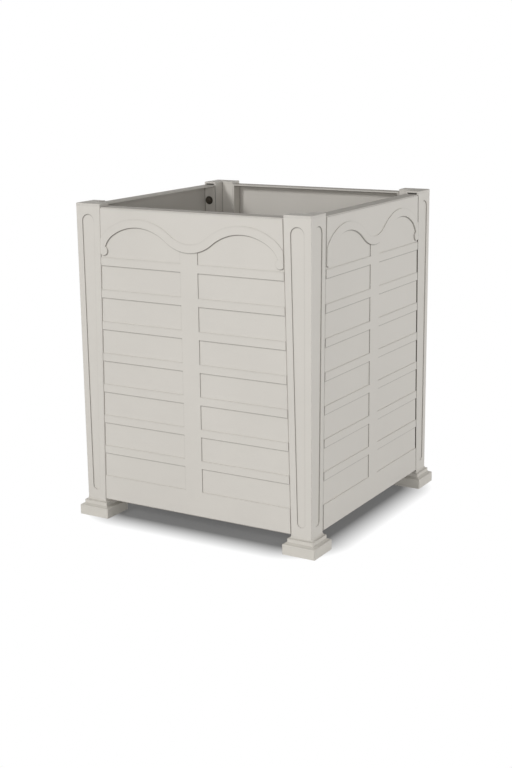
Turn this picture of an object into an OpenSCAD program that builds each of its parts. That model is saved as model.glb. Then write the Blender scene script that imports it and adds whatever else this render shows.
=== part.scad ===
// Versailles planter: a square garden planter of folded and cast metal.
// Four hollow corner posts stand on moulded feet. Four tray-shaped panels are bolted
// between them, and a loose drained floor rests on the panels' bottom flanges.
// Millimetres. The origin is the middle of the ground face: x right, y back, z up.

/* [Overall] */
// Width and depth over the posts' outer faces
body_w = 600; // [480:5:780]
// Height from the ground to the top of the caps
height = 735; // [560:5:920]
// Thickness of the folded sheet
sheet = 3; // [2:0.5:3]
// Radius of the folded and dressed edges
edge_r = 2; // [1.5:0.25:2.75]

/* [Posts] */
// Width of a post's face at the top
post_top_w = 66; // [60:1:80]
// Width of a post's face where it stands on its foot
post_low_w = 51; // [48:1:60]
// Depth of a post's arm, from its outer face to its inner face
arm_d = 34; // [32:1:40]
// Thickness of the plate that closes a post's lower end
base_t = 8; // [6:1:12]
// Margin between the long sunk panel and the edges of the face
sunk_margin = 16; // [14:1:18]
// Distance from the top of the foot up to the long sunk panel
sunk_from_foot = 21.5; // [12:0.5:60]
// Distance from the top of the caps down to the long sunk panel
sunk_from_top = 24; // [18:1:60]
// Depth of the long sunk panel
sunk_d = 2; // [1:0.5:2.5]
// Thickness of a cap
cap_t = 4; // [3:0.5:6]
// Width of the vent under a cap
vent_w = 24; // [12:1:26]
// Height of the vent under a cap
vent_h = 5; // [3:0.5:8]

/* [Feet] */
// Height of a foot
foot_h = 41; // [38:1:60]
// How far the foot's block stands out past the post
block_out = 15; // [10:1:20]
// Height of the block's upright side
block_h = 20; // [18:1:26]
// How far the step above the block stands out past the post
step_out = 6; // [4:0.5:8]

/* [Panels] */
// How far a panel's face lies behind the posts' faces
panel_in = 1.5; // [1:0.5:5]
// Gap between the ends of a side panel and the posts, set by a spacer on each bolt
side_gap = 3.5; // [2:0.5:4.5]
// Gap between the top of the feet and a panel's lower edge
panel_lift = 1; // [1:1:12]
// Distance from the top of the caps down to a panel's upper edge
panel_drop = 7; // [5:1:12]
// How far the rails stand out from the sunk fields
rail_out = 1.5; // [1:0.1:2]
// How far the wavy band stands out from the sunk fields
band_out = 3; // [2.5:0.1:4.5]
// Width of the upright stile in the middle of a panel
stile_w = 44.5; // [30:0.5:60]
// Height of each rail between two sunk fields
rail_h = 18.4; // [12:0.2:24]
// Number of sunk fields above each other, below the arched one
field_rows = 7; // [5:1:9]
// Height of the plain strip below the lowest sunk fields
plinth_h = 60; // [30:0.2:90]
// Distance from a panel's upper edge down to the foot of the arched field
arched_drop = 112; // [95:0.2:150]
// Width of the wavy band
band_w = 18.5; // [12:0.5:22]
// Distance from a panel's upper edge down to the crest of the band
crest_drop = 22; // [12:0.5:30]
// Place of each crest, as a share of the clear half width between the posts
crest_share = 0.573; // [0.55:0.001:0.6]
// Radius under a crest, as a share of the crest's distance from the middle
arch_share = 0.896; // [0.88:0.001:0.92]
// Radius of the dip between the crests, as the same share
dip_share = 0.7; // [0.67:0.01:0.74]
// Radius of a crest's outer flank, as the same share
flank_share = 0.437; // [0.4:0.001:0.46]
// Distance from a panel's upper edge down to the middle of the curls
curl_drop = 96.5; // [88:0.5:110]
// Radius of the curl at each end of the band
curl_r = 10.5; // [6:0.5:12]
// Width of the tail that joins the wave to its curl
tail_w = 8; // [6:0.5:12]

/* [Floor] */
// Height of the floor tray with its turned-down edge
tray_h = 28; // [24:1:40]
// Diameter of a drain hole
drain_d = 20; // [12:1:26]
// Distance from the middle to each bearer
bearer_x = 100; // [90:1:120]

/* [Fasteners] */
// Shank diameter of the panel and foot bolts
bolt_d = 8; // [8:1:8]
// Diameter of the wide washers under the panel bolts' heads
wide_washer_d = 21; // [16:1:21]
// Length of a panel bolt under its head
panel_bolt_l = 25; // [25:5:25]
// Length of a foot bolt under its head
foot_bolt_l = 40; // [40:5:40]
// Distance from a panel's fold to the edge of the wide washers
washer_in = 2.5; // [0.5:0.5:2.5]
// Height of the lowest side panel bolts above a panel's lower edge
bolt_from_low = 68; // [60:1:120]
// Distance from the top of the caps down to the highest side panel bolts
bolt_from_top = 46; // [30:1:90]
// How much nearer to the middle the front and back panels' outer bolts sit
bolt_stagger = 60; // [30:5:90]

/* [Hidden] */
$fn = 48;
eps = 0.5;

// taper: each post face keeps its outer edge upright and its inner edge leans
taper = (post_top_w - post_low_w) / (height - foot_h);
lean = atan(taper);
lean_s = sqrt(1 + taper * taper);
cap_z = height - cap_t;
function post_w(z) = post_low_w + taper * (z - foot_h);

// long sunk panel of a post face
sunk_low = foot_h + sunk_from_foot;
sunk_top = height - sunk_from_top;

// hardware, standard sizes for the bolt diameter
head_af = 13;
head_t = 5.3;
washer_d = 16;
washer_t = 1.6;
hole_d = bolt_d + 1;
thread_gap = 0.1;
nut_body_d = 11;
nut_bulge_d = 14;
nut_bulge_t = 2.5;
nut_body_l = 17;
nut_rim_d = 13;
nut_rim_t = 1;
fit_gap = 0.1;

// panel bolts: depth behind the post's outer face, and three heights on each arm of a post
panel_low = foot_h + panel_lift;
bolt_in = panel_in + sheet + wide_washer_d / 2 + washer_in;
bolt_low = panel_low + bolt_from_low;
bolt_high = height - bolt_from_top;
bolt_mid = (bolt_low + bolt_high) / 2;
side_bolts = [bolt_low, bolt_mid, bolt_high];
front_bolts = [bolt_low + bolt_stagger, bolt_mid, bolt_high - bolt_stagger];

// panels: the front and back ones bear on the rims of the rivet nuts, the side ones on spacers.
// $gap is a panel's gap to the posts: the side panels' own, unless a caller sets the front panels'.
front_gap = nut_rim_t;
$gap = side_gap;
panel_top = height - panel_drop;
panel_face = -body_w / 2 + panel_in;
panel_back = -body_w / 2 + arm_d;
function panel_x() = -body_w / 2 + post_low_w + $gap * lean_s;
function panel_half(z) = -panel_x() - taper * (z - foot_h);

// relief: runs out to the panel's ends, stops short of its upper and lower folds, rooted in the face
relief_end = 0.5;
relief_in = edge_r + 0.5;
root = min(edge_r, sheet);
field_low = panel_low + plinth_h;
arch_field_low = panel_top - arched_drop;
field_pitch = (arch_field_low - field_low) / field_rows;
field_h = field_pitch - rail_h;

// wavy band: a dip, two arches and a tighter flank outside each, arcs that meet tangentially
arch_x = crest_share * (body_w / 2 - post_top_w);
arch_r = arch_share * arch_x;
dip_r = dip_share * arch_x;
flank_r = flank_share * arch_x;
arch_z = panel_top - crest_drop - band_w - arch_r;
dip_z = arch_z + sqrt(pow(arch_r + dip_r, 2) - arch_x * arch_x);
curl_z = panel_top - curl_drop;
function tail_x() = relief_half(curl_z) - tail_w;
function flank_x() = tail_x() - flank_r;
function flank_z() = arch_z + sqrt(pow(arch_r - flank_r, 2) - pow(flank_x() - arch_x, 2));

// foot
block_half = post_low_w / 2 + block_out;
step_half = post_low_w / 2 + step_out;
shoulder_r = 4;
slope_top = block_h + shoulder_r + 3;
step_top = foot_h - step_out;
counterbore_d = 20;
counterbore_h = 14;
foot_bolt_far = 38;
foot_bolt_near = arm_d / 2;
foot_seat_r = 3;

// floor: the tray's skirt stands on the panels' bottom flanges
flange_top = panel_low + sheet;
tray_top = flange_top + tray_h;
tray_gap = 2;
tray_reach = -panel_face - sheet - tray_gap;
tray_wing = panel_half(tray_top) - sheet - tray_gap;
tray_core = body_w / 2 - arm_d - tray_gap;
bearer_h = tray_h - sheet;
bearer_top_w = 40;
bearer_brim = 20;
drain_step = bearer_x + bearer_top_w / 2 + bearer_brim + 2 * drain_d;
bearer_end = tray_reach - sheet - tray_gap;
small_bolt_d = 6;
small_hole_d = small_bolt_d + 1;
small_head_af = 10;
small_head_t = 4;
small_nut_t = 5;
small_washer_d = 12;
small_bolt_l = 16;
small_bolt_in = 8;
small_bolt_y = -panel_back + small_bolt_in;

paint = [0.80, 0.78, 0.74];
paint_top = [0.74, 0.72, 0.68];
dark_steel = [0.30, 0.28, 0.25];
spacer_black = [0.12, 0.12, 0.12];

// ---- shared shapes ----

// What rounding takes off a corner at tip whose signs point outwards.
module corner_waste(tip, r, signs) {
    translate(tip) difference() {
        square(2 * r, center = true);
        translate(-r * signs) circle(r);
    }
}

// Rectangle from lo to hi with the corners at the given signs rounded.
module soft_rect(lo, hi, r, corners) {
    difference() {
        translate(lo) square(hi - lo);
        for (c = corners) corner_waste([c.x < 0 ? lo.x : hi.x, c.y < 0 ? lo.y : hi.y], r, c);
    }
}

// Puts a shape, drawn with its outer corner at the origin, at one corner of the planter.
module at_corner(side, end) {
    mirror([side > 0 ? 1 : 0, 0, 0]) mirror([0, end > 0 ? 1 : 0, 0])
        translate([-body_w / 2, -body_w / 2, 0]) children();
}

// Draws a shape for both arms of a post: along x, and along y.
module both_arms() {
    children();
    mirror([1, -1, 0]) children();
}

// Stands a flat drawing (x right, y up) in the plane of the front face, from y0 back to y1.
module upright(y0, y1) {
    translate([0, y1, 0]) rotate([90, 0, 0]) linear_extrude(y1 - y0) children();
}

// What lies past the leaning end of a post's x arm, for a shape drawn in by a wall thickness.
module past_arm_end(wall, r) {
    translate([post_low_w, 0, foot_h]) rotate([0, lean, 0]) translate([0, 0, -height])
        linear_extrude(3 * height) difference() {
            translate([-wall - 2 * r, -eps]) square([post_top_w, arm_d + 2 * eps]);
            if (r > 0) soft_rect([-3 * r, 0], [-wall, arm_d], r, [[1, -1], [1, 1]]);
        }
}

// L-shaped column between two heights, with leaning ends, drawn in by a wall thickness.
module l_column(z0, z1, wall, r) {
    reach = post_top_w + 4 * edge_r;
    inner = arm_d - wall;
    difference() {
        translate([0, 0, z0]) linear_extrude(z1 - z0) difference() {
            polygon([
                [wall, wall], [reach, wall], [reach, inner],
                [inner, inner], [inner, reach], [wall, reach]
            ]);
            if (r > 0) corner_waste([0, 0], r, [-1, -1]);
        }
        both_arms() past_arm_end(wall, r);
    }
}

// Outline of the long sunk panel: round ends, one upright side and one leaning side.
module sunk_outline(grow) {
    side = sunk_margin - grow;
    r_low = (post_w(sunk_low - grow) - 2 * side) / (1 + lean_s - taper);
    r_top = (post_w(sunk_top + grow) - 2 * side) / (1 + lean_s + taper);
    low = [side + r_low, sunk_low - grow + r_low];
    top = [side + r_top, sunk_top + grow - r_top];
    leaning = [1, -taper] / lean_s;
    translate(low) circle(r_low);
    translate(top) circle(r_top);
    polygon([[side, low.y], low + r_low * leaning, top + r_top * leaning, [side, top.y]]);
}

// Places a shape at a bolt on the end of a post's x arm, with z pointing out of the arm.
module at_arm_bolt(z) {
    translate([post_w(z), bolt_in, z]) rotate([0, 90 + lean, 0]) children();
}

// Places a shape at the bolts of the front and back panels: two ends, three heights.
module at_front_bolts() {
    for (turn = [0, 180]) rotate([0, 0, turn])
        at_panel_end_bolts(front_bolts, $gap = front_gap) children();
}

// Places a shape at the bolts of the side panels: two ends, three heights.
module at_side_bolts() {
    for (turn = [90, 270]) rotate([0, 0, turn])
        at_panel_end_bolts(side_bolts, $gap = side_gap) children();
}

// Places a shape at all the panel bolts.
module at_panel_bolts() {
    at_front_bolts() children();
    at_side_bolts() children();
}

// Places a shape at the bolts at both ends of the front panel, for the given heights.
module at_panel_end_bolts(heights) {
    for (side = [-1, 1]) at_corner(side, -1)
        for (z = heights) at_arm_bolt(z) children();
}

// Hexagonal bolt with its head's seat at z = 0 and its shank pointing down.
module hex_bolt(d, across, head, length) {
    translate([0, 0, -length]) cylinder(d = d, h = length + head / 2);
    cylinder(d = across / cos(30), h = head, $fn = 6);
}

module ring(outer, inner, z0, z1) {
    translate([0, 0, z0]) difference() {
        cylinder(d = outer, h = z1 - z0);
        translate([0, 0, -eps]) cylinder(d = inner, h = z1 - z0 + 2 * eps);
    }
}

// ---- posts ----

// Places a shape at the two bolts that hold one foot.
module at_post_foot_bolts() {
    both_arms() translate([foot_bolt_far, foot_bolt_near, 0]) children();
}

// Hole in the end of a post's arm for a rivet nut.
module nut_hole() {
    translate([0, 0, -2 * sheet]) cylinder(d = nut_body_d + 2 * fit_gap, h = 3 * sheet);
}

// Hollow L-shaped post. The sheet is pressed in behind each long sunk panel.
module post() {
    difference() {
        l_column(foot_h, cap_z, 0, edge_r);
        difference() {
            l_column(foot_h + base_t, height, sheet, 0);
            both_arms() upright(0, sunk_d + sheet) sunk_outline(sheet);
        }
        both_arms() upright(-eps, sunk_d) sunk_outline(0);
        for (z = front_bolts) at_arm_bolt(z) nut_hole();
        mirror([1, -1, 0]) for (z = side_bolts) at_arm_bolt(z) nut_hole();
        at_post_foot_bolts() translate([0, 0, foot_h - eps])
            cylinder(d = bolt_d + 2 * thread_gap, h = base_t + 2 * eps);
        translate([(arm_d - vent_w) / 2, post_top_w - 2 * sheet, cap_z - vent_h])
            cube([vent_w, 3 * sheet, 2 * vent_h]);
    }
}

module post_front_left() color(paint) at_corner(-1, -1) post();
module post_front_right() color(paint) at_corner(1, -1) post();
module post_back_right() color(paint) at_corner(1, 1) post();
module post_back_left() color(paint) at_corner(-1, 1) post();

// ---- caps ----

// One arm of a cap: a plate whose upper edges and upright corners are rounded.
module cap_arm() {
    all_corners = [[-1, -1], [1, -1], [1, 1]];
    intersection() {
        translate([0, 0, cap_z]) linear_extrude(cap_t)
            soft_rect([0, 0], [post_top_w, arm_d], edge_r, all_corners);
        upright(-eps, arm_d + eps)
            soft_rect([0, cap_z - eps], [post_top_w, height], edge_r, [[-1, 1], [1, 1]]);
        rotate([90, 0, 90]) linear_extrude(post_top_w + eps)
            soft_rect([0, cap_z - eps], [arm_d, height], edge_r, [[-1, 1], [1, 1]]);
    }
}

// L-shaped cap with a plug that drops into the post's corner.
module cap() {
    plug_in = sheet + 4 * fit_gap;
    plug_w = arm_d - 2 * plug_in;
    both_arms() cap_arm();
    translate([plug_in, plug_in, cap_z - 2 * cap_t]) cube([plug_w, plug_w, 2 * cap_t + cap_t / 2]);
}

module cap_front_left() color(paint_top) at_corner(-1, -1) cap();
module cap_front_right() color(paint_top) at_corner(1, -1) cap();
module cap_back_right() color(paint_top) at_corner(1, 1) cap();
module cap_back_left() color(paint_top) at_corner(-1, 1) cap();

// ---- feet ----

// Side view of a foot: block, rounded shoulder, slope, small step and cove.
module foot_outline() {
    soft_rect([-block_half, 0], [block_half, block_h + shoulder_r], shoulder_r, [[-1, 1], [1, 1]]);
    polygon([
        [-block_half + shoulder_r, block_h + shoulder_r], [block_half - shoulder_r, block_h + shoulder_r],
        [step_half, slope_top], [-step_half, slope_top]
    ]);
    translate([-step_half, slope_top]) square([2 * step_half, step_top - slope_top]);
    difference() {
        translate([-step_half, step_top]) square([2 * step_half, step_out]);
        for (side = [-1, 1]) translate([side * step_half, foot_h]) circle(step_out);
    }
}

// Cast foot, square in plan, with two counterbored bolt holes from below.
module foot() {
    middle = post_low_w / 2;
    difference() {
        translate([middle, middle, 0]) intersection() {
            upright(-block_half, block_half) foot_outline();
            rotate([0, 0, 90]) upright(-block_half, block_half) foot_outline();
            linear_extrude(foot_h)
                soft_rect([-block_half, -block_half], [block_half, block_half], foot_seat_r,
                    [[-1, -1], [1, -1], [1, 1], [-1, 1]]);
        }
        at_post_foot_bolts() {
            translate([0, 0, -eps]) cylinder(d = counterbore_d, h = counterbore_h + eps);
            cylinder(d = hole_d, h = foot_h + eps);
        }
    }
}

module foot_front_left() color(paint) at_corner(-1, -1) foot();
module foot_front_right() color(paint) at_corner(1, -1) foot();
module foot_back_right() color(paint) at_corner(1, 1) foot();
module foot_back_left() color(paint) at_corner(-1, 1) foot();

// ---- panels ----

// Solid between the two leaning ends of the front panel, drawn in by a thickness.
module between_ends(inset, r) {
    face = panel_face + inset;
    for_corner = r > 0 ? [[-1, -1]] : [];
    intersection_for (side = [0, 1])
        mirror([side, 0, 0]) translate([panel_x(), 0, foot_h]) rotate([0, lean, 0]) translate([0, 0, -height])
            linear_extrude(3 * height) soft_rect([inset, face], [2 * body_w, 0], r, for_corner);
}

// The tray's outside, with its folded edges rounded.
module tray_outside() {
    intersection() {
        between_ends(0, edge_r);
        rotate([90, 0, 90]) linear_extrude(body_w, center = true)
            soft_rect([panel_face, panel_low], [panel_back, panel_top], edge_r, [[-1, -1], [-1, 1]]);
    }
}

// The room behind the face and inside the four flanges.
module tray_inside() {
    intersection() {
        between_ends(sheet, 0);
        translate([-body_w / 2, panel_face, panel_low + sheet])
            cube([body_w, arm_d, panel_top - panel_low - 2 * sheet]);
    }
}

// Half the width of the raised work at a height.
function relief_half(z) = panel_half(z) - relief_end * lean_s;

// Outline of the raised work.
module relief_outline() {
    low = panel_low + relief_in;
    top = panel_top - relief_in;
    polygon([
        [-relief_half(low), low], [relief_half(low), low],
        [relief_half(top), top], [-relief_half(top), top]
    ]);
}

// One arch, cut off at the line through its centre and its flank's, and the flank beyond it.
module arch(rise) {
    reach = 2 * arch_r / (arch_r - flank_r);
    intersection() {
        translate([arch_x, arch_z]) circle(arch_r + rise);
        polygon([
            [arch_x, arch_z],
            [arch_x + reach * (flank_x() - arch_x), arch_z + reach * (flank_z() - arch_z)],
            [0, arch_z + 2 * arch_r],
            [0, arch_z]
        ]);
    }
    translate([flank_x(), flank_z()]) circle(flank_r + rise);
}

// Everything under the wave that runs above the band's lower edge by the given rise.
module under_wave(rise) {
    share = (arch_r + rise) / (arch_r + dip_r);
    join = [arch_x * (1 - share), arch_z + (dip_z - arch_z) * share];
    difference() {
        for (side = [0, 1]) mirror([side, 0]) {
            arch(rise);
            polygon([
                [-eps, join.y], join, [arch_x, arch_z], [flank_x(), flank_z()],
                [tail_x() + rise, flank_z()], [tail_x() + rise, arch_field_low - field_h],
                [-eps, arch_field_low - field_h]
            ]);
        }
        translate([0, dip_z]) circle(dip_r - rise);
    }
}

// The open field under the two arches, which runs out to the panel's ends below the curls.
module arched_field() {
    difference() {
        intersection() {
            union() {
                under_wave(0);
                translate([-body_w / 2, 0]) square([body_w, curl_z]);
            }
            translate([-body_w / 2, arch_field_low]) square([body_w, height]);
        }
        translate([-stile_w / 2, 0]) square([stile_w, height]);
    }
}

// One column of sunk fields on each side of the stile.
module sunk_fields() {
    for (row = [0:field_rows - 1], side = [0, 1])
        mirror([side, 0]) translate([stile_w / 2, field_low + row * field_pitch])
            square([body_w / 2, field_h]);
}

// The band: the wave, whose outer flanks end in a tail with a small curl.
module band_outline() {
    intersection() {
        relief_outline();
        union() {
            difference() {
                intersection() {
                    under_wave(band_w);
                    translate([-body_w / 2, curl_z]) square([body_w, height]);
                }
                under_wave(0);
            }
            for (side = [-1, 1]) translate([side * tail_x(), curl_z]) circle(curl_r);
        }
    }
}

// Folded tray with a lattice in low relief and a wavy band, and bolt holes in its end flanges.
module panel(bolts) {
    difference() {
        union() {
            difference() {
                tray_outside();
                tray_inside();
            }
            upright(panel_face - rail_out, panel_face + root) difference() {
                relief_outline();
                sunk_fields();
                arched_field();
            }
            upright(panel_face - band_out, panel_face + root) band_outline();
        }
        at_panel_end_bolts(bolts) cylinder(d = hole_d, h = $gap + 2 * sheet);
    }
}

// Holes for the bolts of the two floor bearers, in the bottom flange.
module bearer_bolt_holes() {
    at_bearer_bolts() translate([0, 0, panel_low - eps])
        cylinder(d = small_hole_d, h = sheet + 2 * eps);
}

module panel_front() color(paint) difference() {
    panel(front_bolts, $gap = front_gap);
    bearer_bolt_holes();
}

module panel_back() color(paint) difference() {
    rotate([0, 0, 180]) panel(front_bolts, $gap = front_gap);
    bearer_bolt_holes();
}

module panel_right() color(paint) rotate([0, 0, 90]) panel(side_bolts);
module panel_left() color(paint) rotate([0, 0, -90]) panel(side_bolts);

// ---- floor ----

// Plan of the tray: a square with its corners cut away around the posts.
module tray_plan(inset) {
    reach = 2 * (tray_reach - inset);
    wing = 2 * (tray_wing - inset);
    core = 2 * (tray_core - inset);
    square([reach, wing], center = true);
    square([wing, reach], center = true);
    square(core, center = true);
}

// Shallow tray turned upside down, with drain holes between its bearers.
module floor_tray() color(paint) difference() {
    translate([0, 0, flange_top]) linear_extrude(tray_h) tray_plan(0);
    translate([0, 0, flange_top - eps]) linear_extrude(tray_h - sheet + eps) tray_plan(sheet);
    for (x = [-1:1], y = [-1:1])
        translate([x * drain_step, y * drain_step, flange_top]) cylinder(d = drain_d, h = tray_h + eps);
}

// Hat-shaped bearer from the front flange to the back flange.
module bearer() {
    brim_w = bearer_top_w + 2 * bearer_brim;
    difference() {
        rotate([90, 0, 0]) linear_extrude(2 * bearer_end, center = true) difference() {
            union() {
                translate([-brim_w / 2, flange_top]) square([brim_w, sheet]);
                translate([-bearer_top_w / 2, flange_top]) square([bearer_top_w, bearer_h]);
            }
            translate([-bearer_top_w / 2 + sheet, flange_top - eps])
                square([bearer_top_w - 2 * sheet, bearer_h - sheet + eps]);
        }
        at_one_bearer_bolts() translate([0, 0, flange_top - eps])
            cylinder(d = small_hole_d, h = sheet + 2 * eps);
    }
}

module floor_bearer_left() color(paint) translate([-bearer_x, 0, 0]) bearer();
module floor_bearer_right() color(paint) translate([bearer_x, 0, 0]) bearer();

// ---- fasteners ----

// Places a shape at the four bolts of a bearer, through its brims.
module at_one_bearer_bolts() {
    brim_x = (bearer_top_w + bearer_brim) / 2;
    for (x = [-brim_x, brim_x], y = [-small_bolt_y, small_bolt_y]) translate([x, y, 0]) children();
}

// Places a shape at all the bolts of both bearers.
module at_bearer_bolts() {
    for (side = [-1, 1]) translate([side * bearer_x, 0, 0]) at_one_bearer_bolts() children();
}

// Places a shape at all the bolts that hold the feet.
module at_foot_bolts() {
    for (side = [-1, 1], end = [-1, 1]) at_corner(side, end) at_post_foot_bolts() children();
}

// Where a washer bears on a panel's end flange, above the post's surface.
function seat() = $gap + sheet;

module panel_bolts() color(dark_steel)
    at_panel_bolts() translate([0, 0, seat() + washer_t]) hex_bolt(bolt_d, head_af, head_t, panel_bolt_l);

module panel_washers() color(dark_steel)
    at_panel_bolts() ring(wide_washer_d, bolt_d + 2 * fit_gap, seat(), seat() + washer_t);

module panel_spacers() color(spacer_black)
    at_side_bolts() ring(washer_d, bolt_d + 2 * fit_gap, nut_rim_t, side_gap);

// Threaded sleeve set into the post's wall, with a rim outside and a bulge inside.
module panel_rivet_nuts() color(dark_steel)
    at_panel_bolts() difference() {
        union() {
            translate([0, 0, -nut_body_l]) cylinder(d = nut_body_d, h = nut_body_l);
            cylinder(d = nut_rim_d, h = nut_rim_t);
            translate([0, 0, -sheet - nut_bulge_t]) cylinder(d = nut_bulge_d, h = nut_bulge_t);
        }
        translate([0, 0, -nut_body_l - eps])
            cylinder(d = bolt_d + 2 * thread_gap, h = nut_body_l + nut_rim_t + 2 * eps);
    }

module foot_bolts() color(dark_steel)
    at_foot_bolts() translate([0, 0, counterbore_h - washer_t]) rotate([180, 0, 0])
        hex_bolt(bolt_d, head_af, head_t, foot_bolt_l);

module foot_washers() color(dark_steel)
    at_foot_bolts() ring(washer_d, bolt_d + 2 * fit_gap, counterbore_h - washer_t, counterbore_h);

module bearer_bolts() color(dark_steel)
    at_bearer_bolts() translate([0, 0, flange_top + sheet])
        hex_bolt(small_bolt_d, small_head_af, small_head_t, small_bolt_l);

module bearer_washers() color(dark_steel)
    at_bearer_bolts() ring(small_washer_d, small_bolt_d + 2 * fit_gap, panel_low - washer_t, panel_low);

module bearer_nuts() color(dark_steel)
    at_bearer_bolts() translate([0, 0, panel_low - washer_t - small_nut_t]) difference() {
        cylinder(d = small_head_af / cos(30), h = small_nut_t, $fn = 6);
        translate([0, 0, -eps]) cylinder(d = small_bolt_d + 2 * thread_gap, h = small_nut_t + 2 * eps);
    }

post_front_left();
post_front_right();
post_back_right();
post_back_left();
cap_front_left();
cap_front_right();
cap_back_right();
cap_back_left();
foot_front_left();
foot_front_right();
foot_back_right();
foot_back_left();
panel_front();
panel_right();
panel_back();
panel_left();
floor_tray();
floor_bearer_left();
floor_bearer_right();
panel_bolts();
panel_washers();
panel_spacers();
panel_rivet_nuts();
foot_bolts();
foot_washers();
bearer_bolts();
bearer_washers();
bearer_nuts();
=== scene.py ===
import math

import bmesh
import bpy
from mathutils import Matrix, Vector


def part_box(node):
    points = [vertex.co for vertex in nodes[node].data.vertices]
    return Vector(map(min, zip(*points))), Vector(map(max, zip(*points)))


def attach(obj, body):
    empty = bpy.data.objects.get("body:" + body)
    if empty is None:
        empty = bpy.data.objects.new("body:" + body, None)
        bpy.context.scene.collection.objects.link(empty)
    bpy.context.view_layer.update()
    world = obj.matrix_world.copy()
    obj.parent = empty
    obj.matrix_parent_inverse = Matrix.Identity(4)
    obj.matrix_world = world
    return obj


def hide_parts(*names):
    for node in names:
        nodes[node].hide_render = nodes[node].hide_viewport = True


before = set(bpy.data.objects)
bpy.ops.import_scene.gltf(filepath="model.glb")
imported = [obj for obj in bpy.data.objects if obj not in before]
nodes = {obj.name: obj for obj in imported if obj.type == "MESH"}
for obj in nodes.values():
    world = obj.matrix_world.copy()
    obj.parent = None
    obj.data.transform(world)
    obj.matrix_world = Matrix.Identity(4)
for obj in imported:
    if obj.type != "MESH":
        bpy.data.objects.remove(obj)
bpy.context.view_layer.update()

corners = ["front_left", "front_right", "back_right", "back_left"]
sides = ["front", "right", "back", "left"]


# ---- posts ----
# Four hollow L-shaped corner posts, folded from 3 mm sheet and welded shut.
# Each outer face has a long sunk panel pressed into it. Powder coated in light greige.

def srgb(r, g, b):
    """A colour as a painter reads it off a swatch, 0 to 255, for a shader."""
    def linear(c):
        c = c / 255
        return c / 12.92 if c <= 0.04045 else ((c + 0.055) / 1.055) ** 2.4
    return (linear(r), linear(g), linear(b), 1.0)


def new_material(name):
    """An empty material with its Principled BSDF, ready to be wired."""
    material = bpy.data.materials.new(name)
    material.use_nodes = True
    tree = material.node_tree
    return material, tree, tree.nodes["Principled BSDF"]


def feed(tree, socket, value):
    """Links a socket to another one, or gives it a plain value."""
    if isinstance(value, bpy.types.NodeSocket):
        tree.links.new(value, socket)
    else:
        socket.default_value = value


def math_node(tree, operation, *values, clamp=False):
    """Adds a Math node, fed with sockets or numbers, and gives its output."""
    node = tree.nodes.new("ShaderNodeMath")
    node.operation = operation
    node.use_clamp = clamp
    for socket, value in zip(node.inputs, values):
        feed(tree, socket, value)
    return node.outputs["Value"]


def vector_node(tree, operation, *values):
    """Adds a Vector Math node, fed with sockets or vectors, and gives its vector."""
    node = tree.nodes.new("ShaderNodeVectorMath")
    node.operation = operation
    for socket, value in zip(node.inputs, values):
        feed(tree, socket, value)
    return node.outputs["Vector"]


def axes(tree, vector):
    """Adds a Separate XYZ node and gives its three outputs."""
    node = tree.nodes.new("ShaderNodeSeparateXYZ")
    feed(tree, node.inputs["Vector"], vector)
    return node.outputs


def remap(tree, value, from_min, from_max, to_min=0.0, to_max=1.0):
    """Adds a Map Range node and gives its result."""
    node = tree.nodes.new("ShaderNodeMapRange")
    node.inputs["From Min"].default_value = from_min
    node.inputs["From Max"].default_value = from_max
    node.inputs["To Min"].default_value = to_min
    node.inputs["To Max"].default_value = to_max
    feed(tree, node.inputs["Value"], value)
    return node.outputs["Result"]


def noise(tree, place, scale, detail):
    """Adds a noise texture and gives its grey value."""
    node = tree.nodes.new("ShaderNodeTexNoise")
    node.inputs["Scale"].default_value = scale
    node.inputs["Detail"].default_value = detail
    feed(tree, node.inputs["Vector"], place)
    return node.outputs["Fac"]


def mix_colours(tree, share, first, second):
    """Adds a Mix node for two colours and gives its colour."""
    node = tree.nodes.new("ShaderNodeMix")
    node.data_type = "RGBA"
    feed(tree, node.inputs["Factor"], share)
    feed(tree, node.inputs["A"], first)
    feed(tree, node.inputs["B"], second)
    return node.outputs["Result"]


# How far apart two surfaces may be to hold painted shade between them, in metres.
crease_reach = 0.0035
# The gaps beside the side panels lie where |y| + post_taper * z is between these two, up to a height.
post_taper = 0.02161
gap_low = 0.24615
gap_high = 0.2503
gap_top = 0.7265
# How dark the painted shade on the walls of the side gaps is, as a share of its tone.
gap_shade = 0.92


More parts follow.
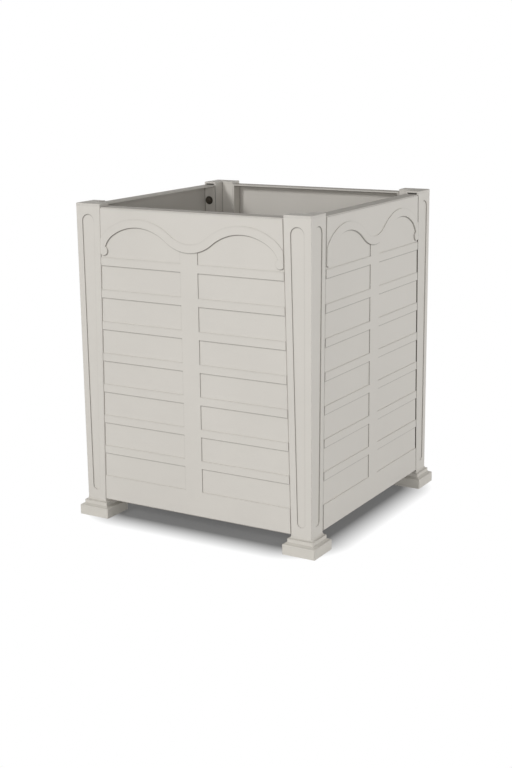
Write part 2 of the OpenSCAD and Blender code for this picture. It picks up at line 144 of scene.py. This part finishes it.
def build_coat_group():
    """Powder coat: orange peel, faint clouds, dust and painted shade on what faces up, painted shade in creases
    and side gaps.
    """
    group = bpy.data.node_groups.new("powder_coat", "ShaderNodeTree")
    for name, kind in [("Colour", "Color"), ("Dust And Shade", "Color"), ("Dust Amount", "Float"), ("Dust From", "Float"),
                       ("Painted Shade", "Color"), ("Grime Amount", "Float"), ("Roughness", "Float"),
                       ("Peel Height", "Float")]:
        group.interface.new_socket(name, in_out="INPUT", socket_type="NodeSocket" + kind)
    for name, kind in [("Colour", "Color"), ("Roughness", "Float"), ("Height", "Float")]:
        group.interface.new_socket(name, in_out="OUTPUT", socket_type="NodeSocket" + kind)
    given = group.nodes.new("NodeGroupInput").outputs
    out = group.nodes.new("NodeGroupOutput").inputs
    place = group.nodes.new("ShaderNodeTexCoord").outputs["Object"]
    normal = group.nodes.new("ShaderNodeNewGeometry").outputs["Normal"]

    # the paint itself, a little lighter and darker in clouds
    clouds = noise(group, place, 5.0, 3.0)
    shade = group.nodes.new("ShaderNodeVectorMath")
    shade.operation = "SCALE"
    feed(group, shade.inputs[0], given["Colour"])
    feed(group, shade.inputs["Scale"], remap(group, clouds, 0.3, 0.7, 0.975, 1.01))

    # dust and painted shade on what faces up, above a height
    upward = remap(group, axes(group, normal)["Z"], 0.3, 1.0)
    patchy = remap(group, noise(group, place, 45.0, 5.0), 0.3, 0.7, 0.85, 1.0)
    above = math_node(group, "GREATER_THAN", axes(group, place)["Z"], given["Dust From"])
    ledge = math_node(group, "MULTIPLY", upward, above)
    patch = math_node(group, "MULTIPLY", ledge, patchy)
    dust_and_shade_cover = math_node(group, "MULTIPLY", patch, given["Dust Amount"])
    dusted_and_shaded = mix_colours(group, dust_and_shade_cover, shade.outputs["Vector"], given["Dust And Shade"])

    # painted shade in the creases, kept off what faces up
    tilted = vector_node(group, "NORMALIZE", vector_node(group, "ADD", normal, (0.0, 0.0, 0.8)))
    hollow = group.nodes.new("ShaderNodeAmbientOcclusion")
    hollow.samples = 8
    hollow.only_local = True
    hollow.inputs["Distance"].default_value = crease_reach
    feed(group, hollow.inputs["Normal"], tilted)
    crease = remap(group, hollow.outputs["AO"], 0.9, 0.45)
    kept = math_node(group, "MULTIPLY", crease, math_node(group, "SUBTRACT", 1.0, upward))
    held = math_node(group, "MULTIPLY", kept, given["Grime Amount"])

    # painted shade on the walls of the side gaps
    from_middle = axes(group, vector_node(group, "ABSOLUTE", place))
    upright = math_node(group, "MULTIPLY_ADD", from_middle["Z"], post_taper, from_middle["Y"])
    beside = math_node(group, "COMPARE", upright, (gap_low + gap_high) / 2, (gap_high - gap_low) / 2)
    endways = axes(group, vector_node(group, "ABSOLUTE", normal))["Y"]
    inside = math_node(group, "MULTIPLY", beside, math_node(group, "GREATER_THAN", endways, 0.9))
    gap = math_node(group, "MULTIPLY", inside, math_node(group, "LESS_THAN", from_middle["Z"], gap_top))
    most = math_node(group, "MAXIMUM", held, math_node(group, "MULTIPLY", gap, gap_shade))
    feed(group, out["Colour"], mix_colours(group, most, dusted_and_shaded, given["Painted Shade"]))

    # paint under dust and painted shade is duller, and all of it has an orange peel
    gloss = remap(group, clouds, 0.3, 0.7, -0.03, 0.03)
    rough = math_node(group, "ADD", given["Roughness"], gloss)
    feed(group, out["Roughness"], math_node(group, "MULTIPLY_ADD", dust_and_shade_cover, 0.5, rough, clamp=True))
    peel = noise(group, place, 900.0, 1.5)
    feed(group, out["Height"], math_node(group, "MULTIPLY", peel, given["Peel Height"]))
    return group


coat_group = build_coat_group()
greige = srgb(207, 203, 196)
# A dark tone on what faces up: partly dust, partly painted shade on the tops.
dust_and_shade_tone = srgb(112, 105, 94)
# The tone of the painted shade in the creases and on the walls of the side gaps.
painted_shade_tone = srgb(58, 50, 38)


def powder_coat(name, colour, dust_and_shade, roughness, peel, dust_and_shade_from=0.0, crease_shade=0.7):
    """Satin powder coat on sheet or cast metal. Dust and painted shade lie on what faces up, only above the height
    dust_and_shade_from, and painted shade lies in the creases.
    """
    material, tree, shader = new_material(name)
    coat = tree.nodes.new("ShaderNodeGroup")
    coat.node_tree = coat_group
    for socket, value in [("Colour", colour), ("Dust And Shade", dust_and_shade_tone), ("Dust Amount", dust_and_shade), ("Dust From", dust_and_shade_from),
                          ("Painted Shade", painted_shade_tone), ("Grime Amount", crease_shade), ("Roughness", roughness),
                          ("Peel Height", peel)]:
        coat.inputs[socket].default_value = value
    bump = tree.nodes.new("ShaderNodeBump")
    bump.inputs["Strength"].default_value = 0.6
    bump.inputs["Distance"].default_value = 0.001
    feed(tree, bump.inputs["Height"], coat.outputs["Height"])
    feed(tree, shader.inputs["Base Color"], coat.outputs["Colour"])
    feed(tree, shader.inputs["Roughness"], coat.outputs["Roughness"])
    feed(tree, shader.inputs["Normal"], bump.outputs["Normal"])
    shader.inputs["Specular IOR Level"].default_value = 0.35
    return material


def dress(piece, material):
    """Gives a piece or a CAD node its material."""
    if not piece.material_slots:
        piece.data.materials.append(material)
    for held in piece.material_slots:
        held.material = material


def soften(piece, width, angle=35):
    """Rounds the sharp edges of a CAD node a little, as a coat of powder does."""
    weld = piece.modifiers.new("join", "WELD")
    weld.merge_threshold = 0.00001
    flat = piece.modifiers.new("flatten", "DECIMATE")
    flat.decimate_type = "DISSOLVE"
    flat.angle_limit = math.radians(0.5)
    edge = piece.modifiers.new("soft_edges", "BEVEL")
    edge.width = width
    edge.segments = 2
    edge.limit_method = "ANGLE"
    edge.angle_limit = math.radians(angle)
    edge.harden_normals = True


post_coat = powder_coat("greige_coat_on_posts", greige, dust_and_shade=0.15, roughness=0.48, peel=0.05)

for corner in corners:
    post = nodes["post_" + corner]
    dress(post, post_coat)
    soften(post, 0.0006)


# ---- caps ----
# Four L-shaped steel plates that close the posts, dressed flush with their outer faces.
# Coated like the posts, with more dust and painted shade, because they lie flat. The CAD's shape is kept.

cap_coat = powder_coat("greige_coat_on_caps", greige, dust_and_shade=0.42, roughness=0.5, peel=0.06)

for corner in corners:
    cap = nodes["cap_" + corner]
    dress(cap, cap_coat)
    soften(cap, 0.0003)


# ---- feet ----
# Four cast plinths under the posts, square in plan, with a block, a step and a cove.
# Cast metal under the same coat, a little rougher and with a coarser skin than the sheet.

cast_tone = srgb(206, 202, 194)
cast_coat = powder_coat("greige_coat_on_casting", cast_tone, dust_and_shade=0.15, roughness=0.52, peel=0.12)

for corner in corners:
    foot = nodes["foot_" + corner]
    dress(foot, cast_coat)
    soften(foot, 0.0008)


# ---- panels ----
# Four trays folded from 3 mm sheet, with a lattice in low relief and a wavy band on the face.
# Coated like the posts. Dust and painted shade lie on the upper flange and not on the ledges of the relief.

flange_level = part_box("panel_front")[1][2] - 0.004
sheet_coat = powder_coat("greige_coat_on_panels", greige, dust_and_shade=0.6, roughness=0.48, peel=0.05,
                         dust_and_shade_from=flange_level)

for side in sides:
    panel = nodes["panel_" + side]
    dress(panel, sheet_coat)
    soften(panel, 0.0005)


# ---- floor ----
# A drained tray turned upside down, on the panels' bottom flanges and on two hat-shaped bearers.
# All three are folded from 3 mm sheet, with a slightly darker coat than the outside.

inner_tone = srgb(198, 193, 182)
inner_coat = powder_coat("greige_coat_inside", inner_tone, dust_and_shade=0.4, roughness=0.52, peel=0.05)

for name in ["floor_tray", "floor_bearer_left", "floor_bearer_right"]:
    dress(nodes[name], inner_coat)


# ---- fasteners ----
# Bronzed bolts and wide washers inside, zinc plated ones under the feet and the floor, and black
# nylon spacers beside the side panels. Bolts and the bearers' nuts are modelled here with threads
# and turned corners; the washers, rivet nuts and spacers keep the CAD's shape.

def speckled(name, light, dark, scale, detail, roughness, metallic):
    """A material that goes between two tones in fine specks."""
    material, tree, shader = new_material(name)
    place = tree.nodes.new("ShaderNodeTexCoord").outputs["Object"]
    specks = noise(tree, place, scale, detail)
    feed(tree, shader.inputs["Base Color"], mix_colours(tree, specks, light, dark))
    shader.inputs["Roughness"].default_value = roughness
    shader.inputs["Metallic"].default_value = metallic
    return material


def plain_steel(name, colour, roughness, metallic):
    """Dull steel, speckled down to 0.6 of its tone."""
    dark = tuple(0.6 * c for c in colour[:3]) + (1.0,)
    return speckled(name, colour, dark, 220.0, 4.0, roughness, metallic)


dark_steel = plain_steel("dark_bronzed_steel", srgb(96, 90, 80), roughness=0.45, metallic=0.7)
zinc_steel = plain_steel("zinc_plated_steel", srgb(176, 176, 172), roughness=0.4, metallic=0.9)
nylon = speckled("black_nylon", srgb(30, 30, 30), srgb(44, 44, 43), scale=400.0, detail=2.0, roughness=0.55,
                 metallic=0.0)

for name, material, width in [("panel_washers", dark_steel, 0.0003), ("panel_rivet_nuts", zinc_steel, 0.0002),
                              ("foot_washers", zinc_steel, 0.0002), ("bearer_washers", zinc_steel, 0.0002),
                              ("panel_spacers", nylon, 0.0002)]:
    dress(nodes[name], material)
    soften(nodes[name], width)

# Shares of the size across a hexagon's flats: the circle its corners are turned to, and the washer face.
crown_share = 0.475
washer_face_share = 0.45
# Shares of a thread's pitch: its depth, and the length of the chamfer at each end.
thread_depth_share = 0.54
lead_share = 0.6


def only(piece):
    """Selects one object and nothing else."""
    bpy.ops.object.select_all(action="DESELECT")
    piece.select_set(True)
    bpy.context.view_layer.objects.active = piece


def apply_all(piece):
    """Applies every modifier of a piece, in order."""
    only(piece)
    for step in list(piece.modifiers):
        bpy.ops.object.modifier_apply(modifier=step.name)


def hexagon(name, across, height, bore, both_ends):
    """A hexagon with its corners turned off at 30 degrees, standing on z = 0, with a bore if given."""
    bpy.ops.object.select_all(action="DESELECT")
    bpy.ops.mesh.primitive_cylinder_add(vertices=6, radius=across / math.sqrt(3), depth=height,
                                        location=(0.0, 0.0, height / 2), rotation=(0.0, 0.0, math.radians(30)))
    blank = bpy.context.object
    blank.name = name
    bpy.ops.object.transform_apply(location=True, rotation=True, scale=True)
    crown = crown_share * across
    slope = math.tan(math.radians(30))
    skirt = crown + height / slope
    cutters = []
    for turned in [False, True][:1 + both_ends]:
        bpy.ops.mesh.primitive_cone_add(vertices=72, radius1=crown if turned else skirt,
                                        radius2=skirt if turned else crown, depth=height,
                                        location=(0.0, 0.0, height / 2))
        cutters.append((bpy.context.object, "INTERSECT"))
    if bore:
        bpy.ops.mesh.primitive_cylinder_add(vertices=36, radius=bore / 2, depth=3 * height)
        cutters.append((bpy.context.object, "DIFFERENCE"))
    for cutter, way in cutters:
        cut = blank.modifiers.new("turned", "BOOLEAN")
        cut.operation = way
        cut.solver = "EXACT"
        cut.object = cutter
    apply_all(blank)
    for cutter, way in cutters:
        bpy.data.objects.remove(cutter)
    return blank


def lathe(name, outline, steps):
    """Spins an outline of (radius, height) points round the z axis into a closed ring or rod."""
    bpy.ops.object.select_all(action="DESELECT")
    bpy.ops.mesh.primitive_plane_add(size=0.001)
    turned = bpy.context.object
    turned.name = name
    bpy.ops.object.mode_set(mode="EDIT")
    bpy.ops.mesh.delete(type="VERT")
    bpy.ops.object.mode_set(mode="OBJECT")
    shape = bmesh.new()
    points = [shape.verts.new((radius, 0.0, height)) for radius, height in outline]
    for first, second in zip(points, points[1:]):
        shape.edges.new((first, second))
    shape.to_mesh(turned.data)
    shape.free()
    bpy.ops.object.mode_set(mode="EDIT")
    bpy.ops.mesh.select_all(action="SELECT")
    bpy.ops.mesh.spin(steps=steps, angle=2 * math.pi, center=(0.0, 0.0, 0.0), axis=(0.0, 0.0, 1.0))
    bpy.ops.mesh.select_all(action="SELECT")
    bpy.ops.mesh.remove_doubles(threshold=0.000005)
    bpy.ops.mesh.normals_make_consistent(inside=False)
    bpy.ops.object.mode_set(mode="OBJECT")
    return turned


def join(name, pieces):
    """Joins pieces into one."""
    only(pieces[0])
    for piece in pieces[1:]:
        piece.select_set(True)
    bpy.ops.object.join()
    pieces[0].name = name
    return pieces[0]


def thread(name, bolt_d, pitch, low, high):
    """A rolled thread: one tooth carried round and up the shank by the Screw modifier."""
    depth = thread_depth_share * pitch
    outer = bolt_d / 2
    bpy.ops.object.select_all(action="DESELECT")
    bpy.ops.mesh.primitive_plane_add(size=0.001)
    coil = bpy.context.object
    coil.name = name
    shape = bmesh.new()
    tooth = [(outer - depth, 0.0), (outer, 0.44 * pitch), (outer, 0.56 * pitch), (outer - depth, pitch)]
    points = [shape.verts.new((radius, 0.0, low + height)) for radius, height in tooth]
    for first, second in zip(points, points[1:]):
        shape.edges.new((first, second))
    shape.to_mesh(coil.data)
    shape.free()
    turns = int((high - low) / pitch) - 1
    wind = coil.modifiers.new("wind", "SCREW")
    wind.axis = "Z"
    wind.angle = 2 * math.pi
    wind.screw_offset = pitch
    wind.iterations = turns
    wind.steps = 20
    wind.render_steps = 20
    wind.use_merge_vertices = True
    wind.merge_threshold = 0.000005
    wind.use_normal_flip = True
    apply_all(coil)
    return coil


def hex_bolt(name, bolt_d, across, head_h, length, pitch, threaded):
    """A hexagon head bolt with its seat at z = 0: washer face, chamfered head, shank and thread."""
    head = hexagon("head", across, head_h, 0.0, False)
    core = bolt_d / 2 - thread_depth_share * pitch
    lead = lead_share * pitch
    plain = threaded - length
    face_r = washer_face_share * across
    shank = lathe("shank", [(0.0, -length), (core - lead, -length), (core, lead - length), (core, plain),
                            (bolt_d / 2, plain + lead), (bolt_d / 2, 0.0)], 36)
    seat = lathe("seat", [(bolt_d / 2 - 0.0002, -0.00005), (face_r, -0.00005), (face_r, 0.0004)], 48)
    coil = thread("coil", bolt_d, pitch, -length + lead, plain + lead)
    bolt = join(name, [head, shank, seat, coil])
    return bolt


def heads_of(node, across):
    """The middle of each bolt head's top in a CAD node, the way it faces, and one of its corners."""
    shape = bmesh.new()
    shape.from_mesh(node.data)
    bmesh.ops.remove_doubles(shape, verts=shape.verts, dist=0.000001)
    bmesh.ops.dissolve_limit(shape, angle_limit=math.radians(0.5), verts=shape.verts, edges=shape.edges)
    top_area = across * across * math.sqrt(3) / 2
    heads = []
    for face in shape.faces:
        if len(face.verts) == 6 and abs(face.calc_area() / top_area - 1) < 0.03:
            heads.append((face.calc_center_median(), face.normal.copy(), face.verts[0].co.copy()))
    shape.free()
    return heads


def set_in_place(name, model, seats, drop):
    """Copies a model to each seat, its z axis along the seat's normal, as one mesh in place."""
    copies = []
    for middle, facing, corner in seats:
        spoke = (corner - middle).normalized()
        side = facing.cross(spoke)
        turn = Matrix((spoke, side, facing)).transposed().to_4x4()
        piece = model.copy()
        piece.data = model.data.copy()
        bpy.context.scene.collection.objects.link(piece)
        piece.data.transform(Matrix.Translation(middle - drop * facing) @ turn)
        copies.append(piece)
    bpy.data.objects.remove(model)
    return join(name, copies)


def finish_pieces(pieces, node_name, material):
    """Dresses the pieces that stand for a CAD node, ties them to the root body and hides the node."""
    dress(pieces, material)
    only(pieces)
    bpy.ops.object.shade_smooth_by_angle(angle=math.radians(30))
    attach(pieces, "root")
    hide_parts(node_name)


def fit_bolts(node_name, material, across, head_h, length, bolt_d, pitch, threaded):
    """Replaces a node of plain bolts with finished ones."""
    seats = heads_of(nodes[node_name], across)
    model = hex_bolt("bolt_model", bolt_d, across, head_h, length, pitch, threaded)
    bolts = set_in_place(node_name + "_finished", model, seats, head_h)
    finish_pieces(bolts, node_name, material)


fit_bolts("panel_bolts", dark_steel, across=0.013, head_h=0.0053, length=0.025, bolt_d=0.008,
          pitch=0.00125, threaded=0.022)
fit_bolts("foot_bolts", zinc_steel, across=0.013, head_h=0.0053, length=0.040, bolt_d=0.008,
          pitch=0.00125, threaded=0.022)
fit_bolts("bearer_bolts", zinc_steel, across=0.010, head_h=0.004, length=0.016, bolt_d=0.006,
          pitch=0.001, threaded=0.014)

# The nuts sit under the bearers' bolts, in line with their heads.
nut_across = 0.010
nut_height = 0.005
nut_bore = 0.0062
nut_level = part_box("bearer_nuts")[0][2]
nut_seats = []
for middle, facing, corner in heads_of(nodes["bearer_bolts"], nut_across):
    drop = Vector((0.0, 0.0, nut_level - middle.z))
    nut_seats.append((middle + drop, facing, corner + drop))
nut_model = hexagon("nut_model", nut_across, nut_height, nut_bore, True)
nuts = set_in_place("bearer_nuts_finished", nut_model, nut_seats, 0.0)
finish_pieces(nuts, "bearer_nuts", zinc_steel)


# ---- studio ----
# A pale floor that runs to white round the planter's shadow, in a white room that lights it softly.
# A large soft light stands at the upper left in front, a weaker one at the front right, and two low
# ones at the right and at the back left.

# The shadow shows fully in a rounded square round the planter and fades out past it, in metres.
shadow_core = 0.2
shadow_starts = 0.075
shadow_ends = 0.15
least_glow = 0.1
room_strength = 0.31


def looks_direct(tree):
    """1 where the eye, a reflection or a see-through surface looks straight at the studio."""
    path = tree.nodes.new("ShaderNodeLightPath").outputs
    mirrored = math_node(tree, "MAXIMUM", path["Is Camera Ray"], path["Is Glossy Ray"])
    return math_node(tree, "MAXIMUM", mirrored, path["Is Transmission Ray"])


def mix_shaders(tree, share, first, second):
    """Adds a Mix Shader node and gives its shader."""
    node = tree.nodes.new("ShaderNodeMixShader")
    feed(tree, node.inputs["Fac"], share)
    tree.links.new(first, node.inputs[1])
    tree.links.new(second, node.inputs[2])
    return node.outputs["Shader"]


def matt_grey(tree, level):
    """Adds a diffuse grey surface and gives its shader."""
    node = tree.nodes.new("ShaderNodeBsdfDiffuse")
    node.inputs["Color"].default_value = (level, level, level, 1.0)
    return node.outputs["BSDF"]


bpy.ops.object.select_all(action="DESELECT")
bpy.ops.mesh.primitive_plane_add(size=40.0, location=(0.0, 0.0, 0.0))
floor = bpy.context.object
floor.name = "studio_floor"

floor_mat = bpy.data.materials.new("studio_floor")
floor_mat.use_nodes = True
tree = floor_mat.node_tree
for old in list(tree.nodes):
    tree.nodes.remove(old)
out = tree.nodes.new("ShaderNodeOutputMaterial")
glow = tree.nodes.new("ShaderNodeEmission")
glow.inputs["Strength"].default_value = 1.0
place = tree.nodes.new("ShaderNodeTexCoord").outputs["Object"]
past_core = vector_node(tree, "SUBTRACT", vector_node(tree, "ABSOLUTE", place), (shadow_core, shadow_core, 0.0))
reach = tree.nodes.new("ShaderNodeVectorMath")
reach.operation = "LENGTH"
feed(tree, reach.inputs[0], vector_node(tree, "MAXIMUM", past_core, (0.0, 0.0, 0.0)))
fade = remap(tree, reach.outputs["Value"], shadow_starts, shadow_ends, least_glow, 1.0)
shown = mix_shaders(tree, fade, matt_grey(tree, 0.2), glow.outputs["Emission"])
whole = mix_shaders(tree, looks_direct(tree), matt_grey(tree, 0.7), shown)
tree.links.new(whole, out.inputs["Surface"])
floor.data.materials.append(floor_mat)

world = bpy.data.worlds.new("studio")
bpy.context.scene.world = world
world.use_nodes = True
tree = world.node_tree
air = tree.nodes["Background"]
air.inputs["Color"].default_value = (1.0, 1.0, 1.0, 1.0)
air.inputs["Strength"].default_value = room_strength
white = tree.nodes.new("ShaderNodeBackground")
white.inputs["Color"].default_value = (1.0, 1.0, 1.0, 1.0)
white.inputs["Strength"].default_value = 1.0
sky = mix_shaders(tree, looks_direct(tree), air.outputs["Background"], white.outputs["Background"])
tree.links.new(sky, tree.nodes["World Output"].inputs["Surface"])


def softbox(name, place, aim, width, height, watts):
    """A rectangular area lamp that faces a point."""
    lamp = bpy.data.lights.new(name, "AREA")
    lamp.shape = "RECTANGLE"
    lamp.size = width
    lamp.size_y = height
    lamp.energy = watts
    holder = bpy.data.objects.new(name, lamp)
    bpy.context.scene.collection.objects.link(holder)
    holder.location = place
    turn = (Vector(aim) - Vector(place)).to_track_quat("-Z", "Y")
    holder.rotation_euler = turn.to_euler()


middle = (0.0, 0.0, 0.35)
softbox("key", (-3.3, -8.9, 5.0), middle, width=2.0, height=2.0, watts=450.0)
softbox("front_fill", (3.2, -5.4, 1.5), middle, width=1.4, height=1.4, watts=100.0)
softbox("fill", (3.4, 1.6, 0.6), middle, width=1.6, height=0.8, watts=42.0)
softbox("rim", (-3.0, 3.6, 0.7), middle, width=2.0, height=1.2, watts=70.0)


# ---- camera ----
# A long lens at the front right, a little above the rim, and rolled by less than a degree.
# Its place, turn and focal length come from a fit to the photograph's edges.

camera_place = Vector((1.57847, -2.67471, 1.05961))
camera_azimuth = 30.756
camera_elevation = 14.022
camera_roll = -0.684
focal_px = 1331.87
frame_h_px = 768

camera = bpy.data.cameras.new("camera")
holder = bpy.data.objects.new("camera", camera)
bpy.context.scene.collection.objects.link(holder)
bpy.context.scene.camera = holder
camera.sensor_fit = "VERTICAL"
camera.sensor_height = 24.0
camera.lens = focal_px * camera.sensor_height / frame_h_px
camera.clip_end = 100.0
azimuth = math.radians(camera_azimuth)
elevation = math.radians(camera_elevation)
roll = math.radians(camera_roll)
look = Vector((-math.sin(azimuth) * math.cos(elevation), math.cos(azimuth) * math.cos(elevation),
               -math.sin(elevation)))
right = Vector((math.cos(azimuth), math.sin(azimuth), 0.0))
up = right.cross(look)
rolled_right = math.cos(roll) * right + math.sin(roll) * up
rolled_up = -math.sin(roll) * right + math.cos(roll) * up
turn = Matrix((rolled_right, rolled_up, -look)).transposed()
holder.matrix_world = Matrix.Translation(camera_place) @ turn.to_4x4()

bpy.context.scene.view_settings.view_transform = "Standard"
